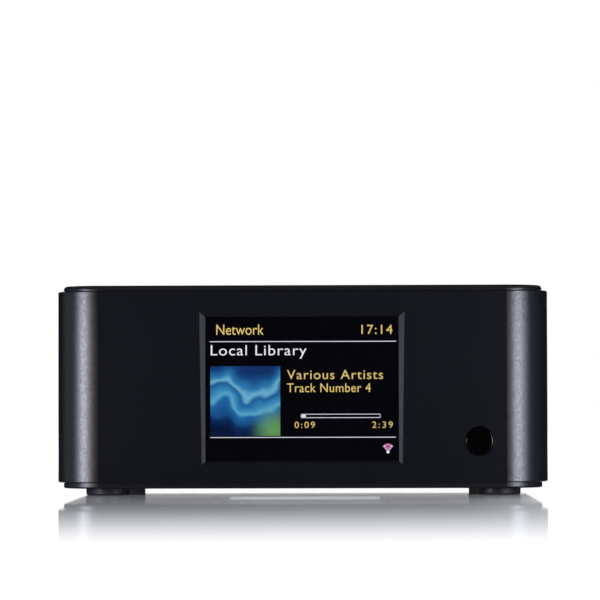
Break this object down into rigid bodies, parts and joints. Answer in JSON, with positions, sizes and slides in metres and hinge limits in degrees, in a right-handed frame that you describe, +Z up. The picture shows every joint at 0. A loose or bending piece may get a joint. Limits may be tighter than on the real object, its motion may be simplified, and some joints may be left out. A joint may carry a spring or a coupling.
{
  "type": "network music streamer",
  "caption": "Low black box with rounded corners, a colour screen and remote window in front and a row of sockets behind; it plays music from a network.",
  "frame": {"origin": "on the table under the middle of the overall box, feet at z = 0", "axes": "+X to the viewer's right when facing the screen, +Y from the screen to the sockets, +Z up"},
  "size_m": [0.15, 0.1244, 0.0641],
  "materials": {
    "sleeve_aluminium": "black anodised, fine bead-blasted satin",
    "cover_plastic": "black, fine matt moulding",
    "foot_rubber": "black, slightly shiny",
    "label_film": "plain silver film",
    "screw_steel": "zinc plated",
    "screw_black": "black oxide",
    "window_clear": "clear, polished",
    "display_glass": "dark display glass",
    "bright_sheet": "bright sheet",
    "foam_black": "black foam",
    "board_green": "green solder mask",
    "board_blue": "blue solder mask",
    "ribbon_white": "white film",
    "ir_filter": "dark red-black, polished",
    "black_moulding": "black moulding",
    "rocker_black": "black, half gloss",
    "brass": "turned brass",
    "capacitor_film": "dark shrink film",
    "coil_ferrite": "ferrite",
    "sink_aluminium": "black anodised",
    "antenna_film": "copper on film",
    "lead_black": "thin coaxial lead",
    "panel_black": "black powder coat",
    "nickel": "nickel plated",
    "insert_white": "white",
    "insert_red": "red",
    "insert_orange": "orange",
    "tongue_white": "white",
    "contact_gold": "gold plated",
    "emitter_red": "clear red"
  },
  "bodies": {
    "case": {"sleeve": "sleeve_aluminium", "top_cover": "cover_plastic", "base_plate": "cover_plastic", "foot_front_left": "foot_rubber", "foot_front_right": "foot_rubber", "foot_rear_left": "foot_rubber", "foot_rear_right": "foot_rubber", "base_label": "label_film", "base_screws": "screw_steel", "bracket_screws": "screw_steel", "board_screws": "screw_steel", "switch_tabs": "screw_steel", "panel_screws": "screw_black", "display_window": "window_clear", "lcd_panel": "display_glass", "lcd_frame": "bright_sheet", "front_brackets": "bright_sheet", "module_shield": "bright_sheet", "usb_shell": "bright_sheet", "lcd_pad": "foam_black", "front_board": "board_green", "main_board": "board_green", "streaming_module": "board_blue", "display_ribbon": "ribbon_white", "ribbon_sockets": "ribbon_white", "ir_window": "ir_filter", "ir_receiver": "black_moulding", "module_header": "black_moulding", "board_chips": "black_moulding", "phono_housing": "black_moulding", "coax_housing": "black_moulding", "optical_socket": "black_moulding", "ethernet_socket": "black_moulding", "dc_socket": "black_moulding", "switch_housing": "black_moulding", "board_standoffs": "brass", "capacitors": "capacitor_film", "power_coil": "coil_ferrite", "heat_sink": "sink_aluminium", "antenna": "antenna_film", "antenna_lead": "lead_black", "rear_panel": "panel_black", "phono_sleeves": "nickel", "phono_contacts": "nickel", "coax_sleeve": "nickel", "coax_contact": "nickel", "dc_pin": "nickel", "phono_insert_left": "insert_white", "phono_insert_right": "insert_red", "coax_insert": "insert_orange", "usb_tongue": "tongue_white", "ethernet_contacts": "contact_gold", "optical_emitter": "emitter_red"},
    "rocker": {"power_rocker": "rocker_black"},
    "shutter": {"optical_shutter": "black_moulding"}
  },
  "joints": [
    {"name": "power_switch", "type": "hinge", "parent": "case", "child": "rocker", "pos_m": [-0.0419, 0.05055, 0.0346], "axis": [0, 0, 1], "range_deg": [0, 16]},
    {"name": "optical_door", "type": "hinge", "parent": "case", "child": "shutter", "pos_m": [0.01228, 0.05115, 0.01995], "axis": [-1, 0, 0], "range_deg": [0, 80], "stiffness_Nm_per_rad": 0.0005, "springref_deg": -11.46}
  ]
}
